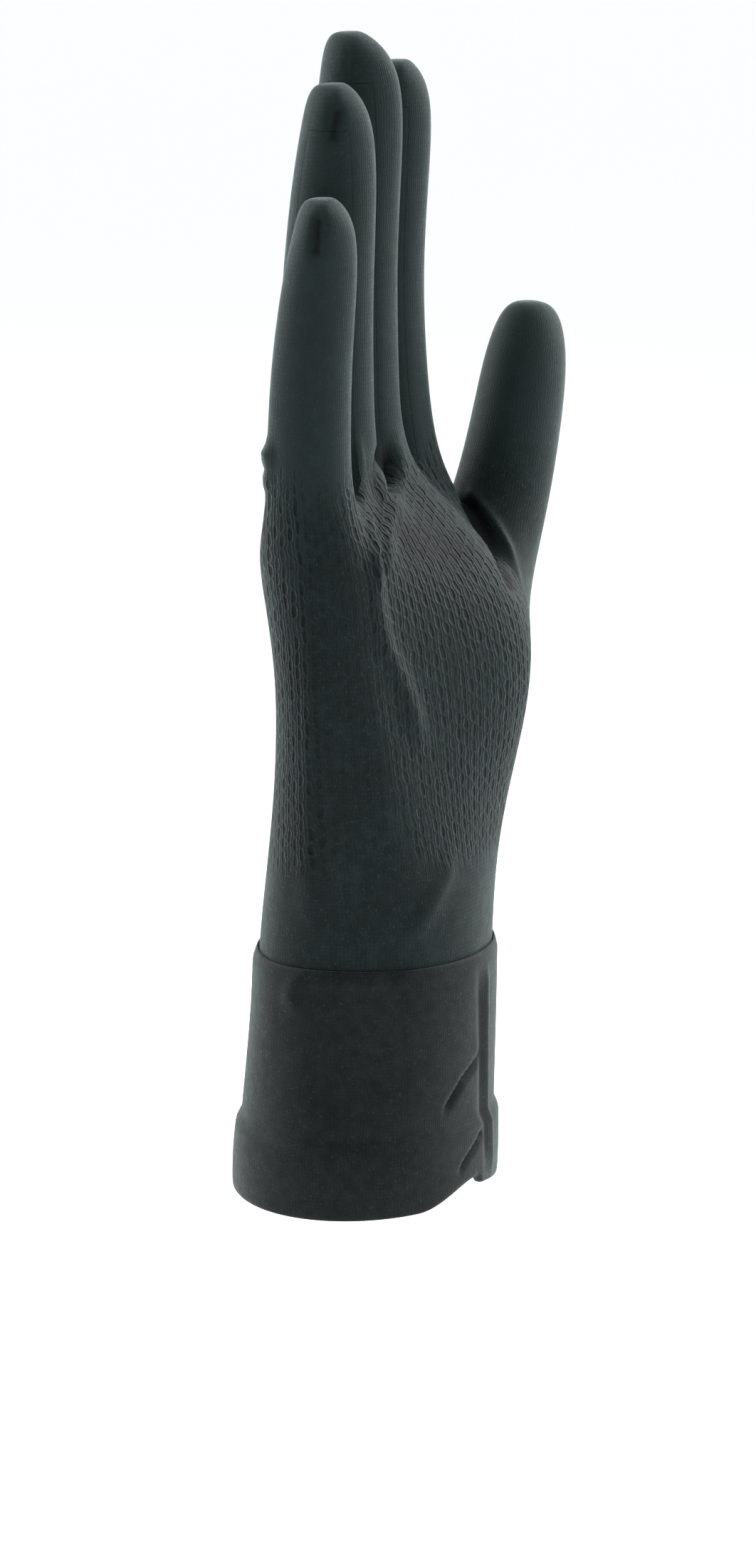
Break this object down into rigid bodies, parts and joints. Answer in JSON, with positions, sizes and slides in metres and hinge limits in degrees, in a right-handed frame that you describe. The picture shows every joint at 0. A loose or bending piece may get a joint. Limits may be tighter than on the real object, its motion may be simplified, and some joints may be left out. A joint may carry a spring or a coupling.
{
  "type": "silk glove",
  "caption": "Thin black knitted silk glove for the right hand: hand piece, side strips between the fingers, set-in thumb and a plain cuff with a doubled hem",
  "frame": {"origin": "the middle of the wrist opening, in the plane of the hem", "axes": "+Z to the fingertips, -Y out of the palm, +X to the thumb side"},
  "size_m": [0.0928, 0.0572, 0.2321],
  "materials": {
    "hand": "fine black knitted silk, dull with a soft sheen",
    "fourchette_little_ring": "fine black knitted silk, dull with a soft sheen",
    "fourchette_ring_middle": "fine black knitted silk, dull with a soft sheen",
    "fourchette_middle_index": "fine black knitted silk, dull with a soft sheen",
    "thumb": "fine black knitted silk, dull with a soft sheen",
    "cuff": "fine black knitted silk, dull with a soft sheen"
  },
  "bodies": {
    "root": {"hand": "hand", "fourchette_little_ring": "fourchette_little_ring", "fourchette_ring_middle": "fourchette_ring_middle", "fourchette_middle_index": "fourchette_middle_index", "thumb": "thumb", "cuff": "cuff"}
  },
  "joints": []
}
